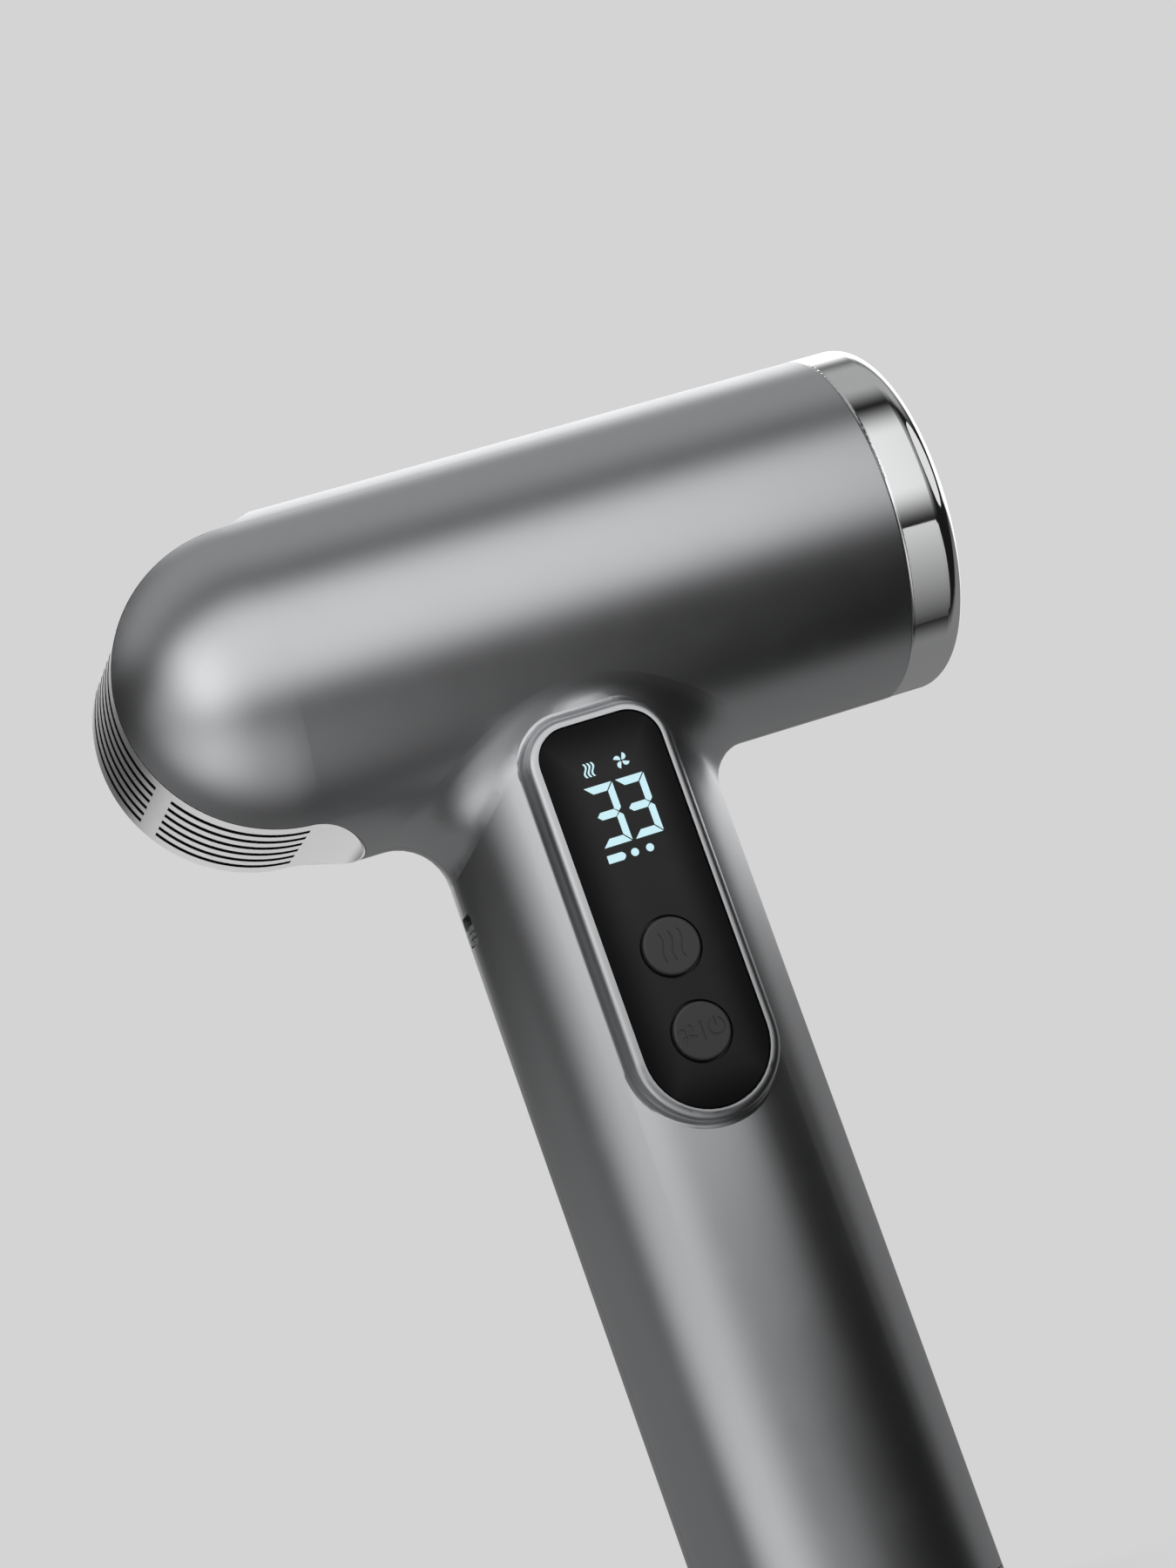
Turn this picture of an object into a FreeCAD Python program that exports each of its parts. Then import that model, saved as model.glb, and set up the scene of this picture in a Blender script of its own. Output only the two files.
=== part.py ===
"""Hair dryer with a cylindrical barrel, a domed rear intake and a round handle.

Frame: +X is the way the air leaves, +Z is up and the control panel faces -Y. Millimetres.
The pieces are drawn about the point where the barrel's axis meets the handle's axis, and save()
lifts each one, so that the part's origin is at the centre of the handle's lower end.
"""
import FreeCAD, Part
import math
import os

V = FreeCAD.Vector

# ---- driving dimensions ----
BARREL_R = 27.0            # outside of the barrel and of its rear dome
WALL = 2.2                 # housing wall
DOME_X = -40.3             # centre of the rear dome
SEAM_X = 53.9              # joint between the housing and the outlet ring
FRONT_X = 63.5             # front face of the outlet ring
HANDLE_R = 21.5
CAP_SEAM_Z = -154.0        # joint between the housing and the end cap
HANDLE_END_Z = -160.0
NECK_FILLET = 8.0          # blend between the barrel and the handle
SPLIT_GAP = 0.05           # half of the hairline between the two housings

PANEL_Y = -23.0            # face of the control panel
PANEL_HALF_W = 9.45
PANEL_TOP_Z = -21.4
PANEL_BOTTOM_Z = -80.3
PANEL_TOP_CORNER_R = 5.0
PANEL_T = 1.2
RIM = 1.75                 # width of the raised rim round the panel
RIM_PROUD = 0.2

BUTTON_Z = {"heat_button": -56.2, "power_button": -69.05}
BUTTON_R = 4.25
BUTTON_HOLE_R = 4.65
BUTTON_PROUD = 0.75
BUTTON_TRAVEL = 0.6

BAND_X = DOME_X            # centre of the intake band's main curve
BAND_HALF_W = 14.3
BAND_R = 22.9              # flush with the dome along the band's two edges
BAND_T = 1.6
BAND_FLARE_R = 12.0        # outward curve of the band's two ends
BAND_FLARE_DEG = 3.45      # where each flare starts, measured from straight below the centre
BAND_NOSE_X = -42.0        # where each end of the band starts to round off, seen from above
BAND_END_X = -32.8
SLOT_PITCH = 4.0
SLOT_W = 1.7
SLOT_ROWS = 6
SLOT_GROUPS_DEG = ((-87.3, -34.4), (-27.1, 27.1), (34.4, 87.3))

KEY_Z = -42.4              # centre of the slide key's window in the handle's rear
KEY_WINDOW_H = 4.6
KEY_WINDOW_W = 5.2
KEY_H = 2.9
KEY_CORNER_R = 0.8
KEY_TRAVEL = 1.3

MOTOR_BORE_R = 14.2        # air passage round the motor
SHAFT_R = 1.5
RUNNING_CLEARANCE = 0.02
IMPELLER_BLADES = 11
STATOR_VANES = 9

DUCT_R = 23.8              # outside of the inner air duct
SHIELD_R = 22.1            # outside of the heat shield
HEATER_X0 = 10.0
HEATER_X1 = 50.0
HEATER_HALF_H = 17.0

SCREW_X = 15.0
SCREW_Z = (-100.0, -144.0)

BOSS_FOOT_FILLET = 0.9
RIM_FILLET = 1.4
PANEL_LEDGE = 1.3

SPIGOT_R = 24.5            # outside of the housing's spigot under the outlet ring
SPIGOT_BORE_R = 22.9
SPIGOT_X1 = 57.2
DUCT_RIB_X = (-26.0, 28.0, 42.0)

SCREW_COLUMN_R = 3.4
SCREW_R = 1.1
SCREW_HEAD_R = 2.1
SCREW_HEAD_H = 1.5
SCREW_RECESS_R = 2.4
SCREW_HEAD_Y = 9.0
SCREW_TIP_Y = -6.0

BAND_FLANGE_R = 17.5       # how far in the band's side walls reach
BAND_MOUTH_X = -38.5       # front limit of the opening behind the band
BAND_GAP = 0.1
FILTER_T = 0.5

OUTLET_R = 21.6            # bore at the outlet, where a nozzle's spigot goes
RING_FRONT_FILLET = 3.5
MAGNET_X1 = 62.2
GRILLE_RINGS = ((3.0, 4.6), (7.4, 8.6), (11.4, 12.6), (15.4, 16.6), (19.6, 21.4))

DUCT_X0 = -31.0
SHIELD_X0 = 6.0
MOTOR_LEAD_X = 3.2
HEATER_LEAD_X = 12.5
LEAD_R = 0.8

SHROUD_R = 16.0
SHROUD_X0 = -33.0
SHROUD_X1 = -4.0
HUB_R = 10.0
HUB_BORE_R = 9.0
HUB_X0 = -23.0
HUB_X1 = -3.0
BEARING_R = 4.0
ROTOR_R = 4.6
SHAFT_X0 = -32.0
IMPELLER_R = 13.9
MOTOR_BOARD_R = 10.0
MOTOR_BOARD_X = 0.4
COIL_WIRE_R = 0.45
COIL_PITCH = 2.6

LIT_T = 0.25               # depth of the lit shapes in the panel
DIGIT_X = (-4.4, 0.5)
DIGIT_TOP_Z = -30.85
DIGIT_W = 4.4
DIGIT_H = 9.1
DIGIT_STROKE = 1.15
ICON_X = (-2.65, 2.4)
ICON_Z = -28.4
LEVEL_Z = -41.7            # a bar and two dots under the figures
LEVEL_H = 1.2
LEVEL_BAR_X = (-4.5, -1.75)
LEVEL_DOT_X = (-0.3, 2.05)
LEVEL_DOT_R = 0.59
MARK_DEPTH = 0.15
FLANGE_R = 5.0
GUIDE_HALF_W = 6.6
GUIDE_MARGIN = 6.0
BOARD_Y = -17.2            # front face of the display board
BOARD_HALF_W = 10.4
CONTROL_Y = 3.0
CONTROL_Z0 = -146.0
CONTROL_Z1 = -88.0
CAP_SPIGOT_Z = -147.5
CAP_FILLET = 3.0
INLET_R = 4.2
INLET_L = 5.4
INLET_POCKET_R = 5.3       # room for the shoulder of a lead's strain relief


# ---- helpers ----
def box(x0, x1, y0, y1, z0, z1):
    return Part.makeBox(x1 - x0, y1 - y0, z1 - z0, V(x0, y0, z0))


def cyl_x(r, x0, x1, y=0.0, z=0.0):
    return Part.makeCylinder(r, x1 - x0, V(x0, y, z), V(1, 0, 0))


def cyl_y(r, y0, y1, x=0.0, z=0.0):
    return Part.makeCylinder(r, y1 - y0, V(x, y0, z), V(0, 1, 0))


def cyl_z(r, z0, z1, x=0.0, y=0.0):
    return Part.makeCylinder(r, z1 - z0, V(x, y, z0), V(0, 0, 1))


def tube_x(r_out, r_in, x0, x1):
    return cyl_x(r_out, x0, x1).cut(cyl_x(r_in, x0 - 1, x1 + 1))


def fuse(shapes):
    shapes = list(shapes)
    return shapes[0].multiFuse(shapes[1:]).removeSplitter()


def group(shapes):
    return Part.makeCompound(list(shapes))


def spin_x(shape, degrees):
    turned = shape.copy()
    turned.rotate(V(0, 0, 0), V(1, 0, 0), degrees)
    return turned


def around_x(shape, count, start=0.0):
    return [spin_x(shape, start + 360.0 * i / count) for i in range(count)]


def revolve_x(outline):
    """Solid of revolution about X from (x, radius) points joined by straight lines."""
    points = [V(x, 0, r) for x, r in outline]
    face = Part.Face(Part.makePolygon(points + points[:1]))
    return face.revolve(V(0, 0, 0), V(1, 0, 0), 360)


def edges_where(shape, test):
    return [edge for edge in shape.Edges if test(edge.BoundBox)]


def save(name, shape):
    solids = shape.Solids
    if not solids or not shape.isValid():
        raise RuntimeError("bad shape: " + name)
    body = solids[0].copy() if len(solids) == 1 else Part.makeCompound(solids)
    body.translate(V(0, 0, -HANDLE_END_Z))
    body.exportStep("parts/" + name + ".step")
    print("%-20s solids %2d  volume %9.1f mm3" % (name, len(solids), body.Volume))


# ---- outlines that several pieces share ----
def panel_prism(offset, y0, y1):
    """The panel's outline, grown by offset: flat top with round corners, half-round bottom."""
    w = PANEL_HALF_W + offset
    top = PANEL_TOP_Z + offset
    corner = PANEL_TOP_CORNER_R + offset
    low = PANEL_BOTTOM_Z + PANEL_HALF_W        # centre of the half-round bottom
    lean = corner * (1 - math.sqrt(0.5))
    edges = [
        Part.makeLine(V(-w + corner, 0, top), V(w - corner, 0, top)),
        Part.Arc(V(w - corner, 0, top), V(w - lean, 0, top - lean), V(w, 0, top - corner)).toShape(),
        Part.makeLine(V(w, 0, top - corner), V(w, 0, low)),
        Part.Arc(V(w, 0, low), V(0, 0, low - w), V(-w, 0, low)).toShape(),
        Part.makeLine(V(-w, 0, low), V(-w, 0, top - corner)),
        Part.Arc(V(-w, 0, top - corner), V(-w + lean, 0, top - lean), V(-w + corner, 0, top)).toShape(),
    ]
    prism = Part.Face(Part.Wire(edges)).extrude(V(0, y1 - y0, 0))
    prism.translate(V(0, y0, 0))
    return prism


def band_point(radius, degrees):
    """Point about the band's centre: 0 degrees is straight behind it, positive is down."""
    a = math.radians(degrees)
    return V(BAND_X - radius * math.cos(a), 0, -radius * math.sin(a))


def band_prism(inset, half_width):
    """Everything inside the band's curve, drawn in by inset: a round rear with two flared ends."""
    r = BAND_R - inset
    flare = BAND_FLARE_R + inset
    meet_deg = 90.0 - BAND_FLARE_DEG
    low_centre = band_point(BAND_R + BAND_FLARE_R, meet_deg)

    def flare_point(x):
        return V(x, 0, low_centre.z + math.sqrt(flare ** 2 - (x - low_centre.x) ** 2))

    def mirrored(p):
        return V(p.x, 0, -p.z)

    end = flare_point(BAND_END_X)
    meet = band_point(r, meet_deg)
    middle = flare_point((end.x + meet.x) / 2)
    edges = [
        Part.Arc(end, middle, meet).toShape(),
        Part.Arc(meet, band_point(r, 0), mirrored(meet)).toShape(),
        Part.Arc(mirrored(meet), mirrored(middle), mirrored(end)).toShape(),
        Part.makeLine(mirrored(end), end),
    ]
    prism = Part.Face(Part.Wire(edges)).extrude(V(0, 2 * half_width, 0))
    prism.translate(V(0, -half_width, 0))
    return prism


def band_plan(grow):
    """The band seen from above: parallel sides and a half-elliptical nose, full height."""
    half_w = BAND_HALF_W + grow
    nose = BAND_END_X - BAND_NOSE_X + grow
    centre = V(BAND_NOSE_X, 0, 0)
    ellipse = Part.Ellipse(centre + V(0, half_w, 0), centre + V(nose, 0, 0), centre)
    rear_x = DOME_X - BARREL_R - 5
    edges = [
        Part.ArcOfEllipse(ellipse, 0, math.pi).toShape(),
        Part.makeLine(centre + V(0, -half_w, 0), V(rear_x, -half_w, 0)),
        Part.makeLine(V(rear_x, -half_w, 0), V(rear_x, half_w, 0)),
        Part.makeLine(V(rear_x, half_w, 0), centre + V(0, half_w, 0)),
    ]
    height = 2 * BARREL_R + 10
    plan = Part.Face(Part.Wire(edges)).extrude(V(0, 0, height))
    plan.translate(V(0, 0, -height / 2))
    return plan


def band_sector(r0, r1, deg0, deg1, y0, y1):
    """Curved bar about the band's centre."""
    mid = (deg0 + deg1) / 2
    edges = [
        Part.Arc(band_point(r1, deg0), band_point(r1, mid), band_point(r1, deg1)).toShape(),
        Part.makeLine(band_point(r1, deg1), band_point(r0, deg1)),
        Part.Arc(band_point(r0, deg1), band_point(r0, mid), band_point(r0, deg0)).toShape(),
        Part.makeLine(band_point(r0, deg0), band_point(r1, deg0)),
    ]
    bar = Part.Face(Part.Wire(edges)).extrude(V(0, y1 - y0, 0))
    bar.translate(V(0, y0, 0))
    return bar


# ---- housings ----
def barrel_solid(r, x1):
    tube = cyl_x(r, DOME_X, x1)
    dome = Part.makeSphere(r, V(DOME_X, 0, 0)).common(box(DOME_X - r - 1, DOME_X, -r - 1, r + 1, -r - 1, r + 1))
    return tube.fuse(dome).removeSplitter()


def housing_outside():
    """The closed outer form: barrel, handle, the blend between them and the panel's raised boss."""
    body = barrel_solid(BARREL_R, SEAM_X).fuse(cyl_z(HANDLE_R, CAP_SEAM_Z, 0))
    neck = edges_where(body, lambda b: b.ZMax < -14 and b.ZMin > -28)
    body = body.makeFillet(NECK_FILLET, neck)
    boss_y = PANEL_Y - RIM_PROUD
    boss = panel_prism(RIM, boss_y, -8)
    boss = boss.makeFillet(RIM_FILLET, edges_where(boss, lambda b: b.YMax < boss_y + 0.01))
    body = body.fuse(boss)
    foot = edges_where(body, lambda b: b.YMax < -10 and b.YMin > boss_y + RIM_FILLET + 0.1
                       and abs(b.XMin) < 12.5 and abs(b.XMax) < 12.5 and b.ZMin > -90)
    return body.makeFillet(BOSS_FOOT_FILLET, foot)


def screw_columns(y0, y1):
    return [cyl_y(SCREW_COLUMN_R, y0, y1, x, z) for x in (-SCREW_X, SCREW_X) for z in SCREW_Z]


def housing_shell():
    shell = housing_outside()
    inner_r = BARREL_R - WALL
    handle_r = HANDLE_R - WALL
    handle_room = cyl_z(handle_r, CAP_SEAM_Z - 1, 0)
    shell = shell.cut(barrel_solid(inner_r, SEAM_X + 1)).cut(handle_room)
    # spigot that carries the outlet ring, and ribs that carry the air duct
    spigot = tube_x(SPIGOT_R, SPIGOT_BORE_R, SEAM_X - 4, SPIGOT_X1)
    web = tube_x(inner_r + 0.5, SPIGOT_BORE_R, SEAM_X - 4, SEAM_X - 2)
    ribs = [tube_x(inner_r + 0.5, DUCT_R + 0.1, x - 0.75, x + 0.75) for x in DUCT_RIB_X]
    columns = [c.common(cyl_z(handle_r + 0.5, CAP_SEAM_Z, 0)) for c in screw_columns(-HANDLE_R, HANDLE_R)]
    shell = fuse([shell, spigot, web] + ribs + columns)
    # seat and window of the control panel
    shell = shell.cut(panel_prism(0.08, PANEL_Y - RIM_PROUD - 1, PANEL_Y + PANEL_T))
    shell = shell.cut(panel_prism(-PANEL_LEDGE, PANEL_Y - 1, -12))
    # opening for the intake band: it follows the band's flared ends, and is open behind them
    opening = band_plan(BAND_GAP)
    seat = opening.cut(band_prism(BAND_T + BAND_GAP, BAND_HALF_W + 1))
    reach = BARREL_R + 5
    mouth = opening.common(box(DOME_X - reach, BAND_MOUTH_X, -reach, reach, -reach, reach))
    shell = shell.cut(seat).cut(mouth)
    # window of the slide key, with room behind it for the key's flange
    low = KEY_Z - KEY_WINDOW_H / 2
    window = box(-HANDLE_R - 1, -15, -KEY_WINDOW_W / 2, KEY_WINDOW_W / 2, low, low + KEY_WINDOW_H)
    window = window.makeFillet(KEY_CORNER_R, edges_where(window, lambda b: b.XLength > 3))
    return shell.cut(window)


def screw_holes(shell):
    """Clearance holes and head recesses in the housing that the screws enter from +Y."""
    for x in (-SCREW_X, SCREW_X):
        for z in SCREW_Z:
            shell = shell.cut(cyl_y(SCREW_R + 0.3, -1, SCREW_HEAD_Y + 1, x, z))
            shell = shell.cut(cyl_y(SCREW_RECESS_R, SCREW_HEAD_Y, HANDLE_R + 1, x, z))
    return shell


def pilot_holes(shell):
    for x in (-SCREW_X, SCREW_X):
        for z in SCREW_Z:
            shell = shell.cut(cyl_y(SCREW_R + 0.02, SCREW_TIP_Y - 1, 1, x, z))
    return shell


def make_housings():
    shell = housing_shell()
    left = shell.common(box(-100, 100, -50, -SPLIT_GAP, -200, 50))
    right = shell.common(box(-100, 100, SPLIT_GAP, 50, -200, 50))
    save("left_housing", pilot_holes(left))
    save("right_housing", screw_holes(right))


def make_screws():
    screws = []
    plugs = []
    outside = cyl_z(HANDLE_R, CAP_SEAM_Z, 0)
    for x in (-SCREW_X, SCREW_X):
        for z in SCREW_Z:
            head = cyl_y(SCREW_HEAD_R, SCREW_HEAD_Y, SCREW_HEAD_Y + SCREW_HEAD_H, x, z)
            drive_y = SCREW_HEAD_Y + SCREW_HEAD_H - 0.9
            cross = box(x - 1.2, x + 1.2, drive_y, drive_y + 2, z - 0.3, z + 0.3)
            cross = cross.fuse(box(x - 0.3, x + 0.3, drive_y, drive_y + 2, z - 1.2, z + 1.2))
            shank = cyl_y(SCREW_R, SCREW_TIP_Y, SCREW_HEAD_Y + 0.5, x, z)
            screws.append(head.fuse(shank).cut(cross).removeSplitter())
            plug = cyl_y(SCREW_RECESS_R - 0.08, SCREW_HEAD_Y + SCREW_HEAD_H + 0.3, HANDLE_R + 1, x, z)
            plugs.append(plug.common(outside))
    save("housing_screws", group(screws))
    save("screw_plugs", group(plugs))


# ---- intake ----
def make_intake():
    bar = cyl_x(BARREL_R, DOME_X - BARREL_R - 5, BAND_END_X)
    band = band_prism(0, BAND_HALF_W).common(bar).common(band_plan(0))
    hollow = band_prism(BAND_T, BAND_HALF_W - BAND_T)
    band = band.cut(hollow)
    # the side flanges stop short of the centre and of the flared ends
    inside = cyl_y(BAND_FLANGE_R, -BAND_HALF_W - 1, BAND_HALF_W + 1, BAND_X, 0)
    band = band.cut(inside)
    reach = BAND_HALF_W + 1
    front = box(BAND_MOUTH_X - 0.2, 0, -reach, reach, -BARREL_R - 1, BARREL_R + 1)
    band = band.cut(front.common(band_prism(BAND_T, reach)))
    for i in range(SLOT_ROWS):
        y = (i - (SLOT_ROWS - 1) / 2) * SLOT_PITCH
        for deg0, deg1 in SLOT_GROUPS_DEG:
            slot = band_sector(BAND_R - BAND_T - 1, BAND_R + 1, deg0, deg1, y - SLOT_W / 2, y + SLOT_W / 2)
            band = band.cut(slot)
    save("intake_grille", band)
    filter_r = BAND_R - BAND_T - 0.3
    half = BAND_HALF_W - BAND_T - 0.2
    save("dust_filter", band_sector(filter_r - FILTER_T, filter_r, -88, 88, -half, half))


# ---- outlet ----
def make_outlet():
    x0 = SEAM_X + 0.15
    inner = SPIGOT_R + 0.1
    ring = revolve_x([(x0, BARREL_R), (FRONT_X, BARREL_R), (FRONT_X, OUTLET_R), (MAGNET_X1 - 2.5, OUTLET_R),
                      (MAGNET_X1 - 2.5, OUTLET_R + 0.8), (MAGNET_X1, OUTLET_R + 0.8), (MAGNET_X1, inner),
                      (x0, inner)])
    shoulder = edges_where(ring, lambda b: b.XMin > FRONT_X - 0.01 and b.ZMax > BARREL_R - 0.5)
    ring = ring.makeFillet(RING_FRONT_FILLET, shoulder)
    rear = edges_where(ring, lambda b: b.XMax < x0 + 0.01 and b.ZMax > BARREL_R - 0.5)
    ring = ring.makeFillet(0.5, rear)
    lip = edges_where(ring, lambda b: b.XMin > FRONT_X - 0.01 and b.ZMax < OUTLET_R + 0.5)
    save("outlet_ring", ring.makeFillet(0.6, lip))
    magnet = tube_x(SPIGOT_R - 0.1, OUTLET_R + 0.9, MAGNET_X1 - 2.4, MAGNET_X1 - 0.1)
    save("magnet_ring", magnet)

    x0 = SPIGOT_X1 + 0.1
    x1 = MAGNET_X1 - 2.6
    flange = tube_x(SPIGOT_R - 0.1, GRILLE_RINGS[-1][0], x0, x1)
    rings = [tube_x(r_out, r_in, x0, x1) for r_in, r_out in GRILLE_RINGS]
    spoke = box(x0, x1, -0.7, 0.7, GRILLE_RINGS[0][0] + 0.3, SPIGOT_R - 0.6)
    save("outlet_grille", fuse([flange] + rings + around_x(spoke, 8)))

    seat_x = x1 - 1.9
    holder = cyl_x(GRILLE_RINGS[0][0] - 0.1, HEATER_X1 + 1, seat_x)
    collar = Part.makeCone(1.6, 0.9, 0.8, V(seat_x, 0, 0), V(1, 0, 0))
    needle = Part.makeCone(0.45, 0.1, 1.7, V(seat_x, 0, 0), V(1, 0, 0))
    save("ion_emitter", fuse([holder, collar, needle]))


# ---- air duct, motor and fan ----
def wire_hole(x, count):
    """Opening in the underside of a tube for the leads that come up from the handle."""
    half = count * 1.1 + 0.8
    return box(x - 1.6, x + 1.6, -half, half, -BARREL_R, -10)


def make_ducts():
    duct = tube_x(DUCT_R, SHIELD_R + 0.1, DUCT_X0, SHIELD_X0 - 0.2)
    duct = duct.cut(wire_hole(MOTOR_LEAD_X, 3))
    ring = tube_x(DUCT_R, SHIELD_R + 0.1, SHIELD_X0 - 0.2, SHIELD_X0 + 3)
    save("air_duct", duct.fuse(ring).removeSplitter())
    shield = tube_x(SHIELD_R, SHIELD_R - 0.5, SHIELD_X0, SPIGOT_X1)
    save("heat_shield", shield.cut(wire_hole(HEATER_LEAD_X, 2)))


def make_motor():
    shroud = tube_x(SHROUD_R, MOTOR_BORE_R, SHROUD_X0, SHROUD_X1)
    shroud = shroud.fuse(tube_x(HUB_R, HUB_BORE_R, HUB_X0, HUB_X1))
    vane = box(HUB_X0 + 1, HUB_X1 - 3, -0.4, 0.4, HUB_R - 0.4, MOTOR_BORE_R + 0.5)
    vane.rotate(V((HUB_X0 + HUB_X1) / 2, 0, 0), V(0, 0, 1), 12)
    front_wall = tube_x(HUB_R, BEARING_R + 0.01, HUB_X0, HUB_X0 + 2.6)
    bridge = tube_x(BEARING_R + 1.4, BEARING_R + 0.01, HUB_X1 - 2.6, HUB_X1)
    arm = box(HUB_X1 - 2.0, HUB_X1, -1, 1, BEARING_R + 0.6, HUB_R - 0.4)
    parts = [shroud, front_wall, bridge] + around_x(vane, STATOR_VANES) + around_x(arm, 3)
    save("motor_shroud", fuse(parts))

    bearing = tube_x(BEARING_R, SHAFT_R + RUNNING_CLEARANCE, 0, 2.4)
    groove = tube_x(BEARING_R - 0.7, SHAFT_R + 0.7, -1, 0.25)
    bearing = bearing.cut(groove)
    for name, x in (("front_bearing", HUB_X0 + 0.1), ("rear_bearing", HUB_X1 - 2.5)):
        placed = bearing.copy()
        placed.translate(V(x, 0, 0))
        save(name, placed)

    core_x0 = HUB_X0 + 4.5
    core_x1 = HUB_X1 - 5.0
    yoke = tube_x(HUB_BORE_R - 0.05, HUB_BORE_R - 1.4, core_x0, core_x1)
    tooth = box(core_x0, core_x1, -0.8, 0.8, ROTOR_R + 1.0, HUB_BORE_R - 0.8)
    shoe = tube_x(ROTOR_R + 1.2, ROTOR_R + 0.4, core_x0, core_x1).common(
        box(core_x0, core_x1, -1.6, 1.6, 0, HUB_R))
    core = fuse([yoke] + around_x(tooth, 6) + around_x(shoe, 6))
    save("stator_core", core)
    coil = box(core_x0 - 0.8, core_x1 + 0.8, -1.55, 1.55, ROTOR_R + 1.4, HUB_BORE_R - 1.6)
    coil = coil.cut(box(core_x0 - 0.1, core_x1 + 0.1, -0.9, 0.9, 0, HUB_R))
    save("stator_windings", group(around_x(coil, 6)))

    mount = tube_x(SHIELD_R - 0.1, SHROUD_R + 0.1, SHROUD_X0 + 3, SHROUD_X1 - 4)
    relief = tube_x(SHIELD_R - 1.6, SHROUD_R + 1.6, SHROUD_X0 + 5, SHROUD_X1 - 3)
    bridge = box(SHROUD_X0 + 4, SHROUD_X1 - 4, -0.8, 0.8, SHROUD_R + 0.3, SHIELD_R - 0.4)
    save("motor_mount", fuse([mount.cut(relief)] + around_x(bridge, 8)))


def make_rotor():
    shaft = cyl_x(SHAFT_R, SHAFT_X0, HUB_X1 + 1.0)
    save("motor_shaft", shaft)
    save("rotor_magnet", tube_x(ROTOR_R, SHAFT_R, HUB_X0 + 4.0, HUB_X1 - 4.5))
    x0 = SHAFT_X0 + 1.0
    x1 = HUB_X0 - 0.6
    hub = revolve_x([(x0 - 2.0, SHAFT_R), (x0 - 2.0, 3.0), (x0, 5.6), (x1, HUB_R - 0.2), (x1, HUB_R - 1.6),
                     (x0 + 1.6, 4.0), (x0 + 1.6, SHAFT_R)])
    boss = tube_x(4.2, SHAFT_R, x0 + 1.0, x1)
    mid = (x0 + x1) / 2
    blade = box(mid - 6, mid + 6, -0.4, 0.4, 5.2, MOTOR_BORE_R)
    blade.rotate(V(mid, 0, 0), V(0, 0, 1), 38)
    room = tube_x(IMPELLER_R, 4.8, x0 + 0.2, x1)
    blades = [b.common(room) for b in around_x(blade, IMPELLER_BLADES)]
    save("impeller", fuse([hub, boss] + blades))


def make_motor_board():
    board = cyl_x(MOTOR_BOARD_R, MOTOR_BOARD_X, MOTOR_BOARD_X + 1.2)
    board = board.cut(cyl_x(2.2, MOTOR_BOARD_X - 1, MOTOR_BOARD_X + 2))
    for hole in around_x(cyl_x(1.1, MOTOR_BOARD_X - 1, MOTOR_BOARD_X + 2, 0, 8.2), 3):
        board = board.cut(hole)
    save("motor_board", board)
    # three posts hold the board behind the motor's hub
    post = cyl_x(1.0, HUB_X1 + 0.05, MOTOR_BOARD_X - 0.05, 0, 8.2)
    save("board_posts", group(around_x(post, 3)))
    chip = box(MOTOR_BOARD_X + 1.25, MOTOR_BOARD_X + 2.25, -1.5, 1.5, 3.4, 6.4)
    save("motor_driver_chips", group(around_x(chip, 3, 60)))


# ---- heater ----
def coil_turns(x0, count):
    """Turns of resistance wire wound round the frame, each drawn as a closed ring."""
    radius = HEATER_HALF_H + COIL_WIRE_R + 0.15
    return [Part.makeTorus(radius, COIL_WIRE_R, V(x0 + i * COIL_PITCH, 0, 0), V(1, 0, 0)) for i in range(count)]


def make_heater():
    half = HEATER_HALF_H
    flat = box(HEATER_X0, HEATER_X1, -half, half, -0.4, 0.4)
    upright = box(HEATER_X0, HEATER_X1, -0.4, 0.4, -half, half)
    ends = [tube_x(SHIELD_R - 0.7, half - 0.6, x, x + 0.8) for x in (HEATER_X0, HEATER_X1 - 0.8)]
    save("heater_frame", fuse([flat, upright] + ends))
    save("heater_coils", group(coil_turns(HEATER_X0 + 6, 6) + coil_turns(HEATER_X0 + 24, 6)))
    cutout = box(16, 26, 0.45, 4.2, 3, 9).fuse(cyl_y(2.4, 4.2, 5.0, 21, 6))
    save("thermal_cutout", cutout)
    fuse_body = cyl_x(1.6, 30, 41, 2.2, 6).fuse(cyl_x(0.4, 27, 44, 2.2, 6))
    save("thermal_fuse", fuse_body)
    bead = Part.makeSphere(1.3, V(47, 2.2, 8)).fuse(cyl_x(0.4, 43, 47, 2.2, 8))
    save("thermistor", bead.removeSplitter())


# ---- control panel ----
def segment(points):
    """Flat lit shape set into the panel's face, from (x, z) points."""
    outline = [V(x, PANEL_Y, z) for x, z in points]
    face = Part.Face(Part.makePolygon(outline + outline[:1]))
    return face.extrude(V(0, LIT_T, 0))


def digit_three(x0, z_top):
    """A seven-segment figure with its two left-hand bars unlit."""
    x1 = x0 + DIGIT_W
    z_bottom = z_top - DIGIT_H
    z_mid = z_top - DIGIT_H / 2
    t = DIGIT_STROKE
    g = 0.12
    top = [(x0, z_top), (x1 - g, z_top), (x1 - t, z_top - t), (x0 + t, z_top - t)]
    bottom = [(x0, z_bottom), (x1 - g, z_bottom), (x1 - t, z_bottom + t), (x0 + t, z_bottom + t)]
    h = t / 2
    middle = [(x0 + h, z_mid), (x0 + t, z_mid + h), (x1 - t, z_mid + h), (x1 - h, z_mid),
              (x1 - t, z_mid - h), (x0 + t, z_mid - h)]
    upper = [(x1, z_top - g), (x1, z_mid + h), (x1 - h + g, z_mid + g), (x1 - t + g, z_mid + h),
             (x1 - t + g, z_top - t - g)]
    lower = [(x, 2 * z_mid - z) for x, z in upper]
    return [segment(p) for p in (top, upper, middle, lower, bottom)]


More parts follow.
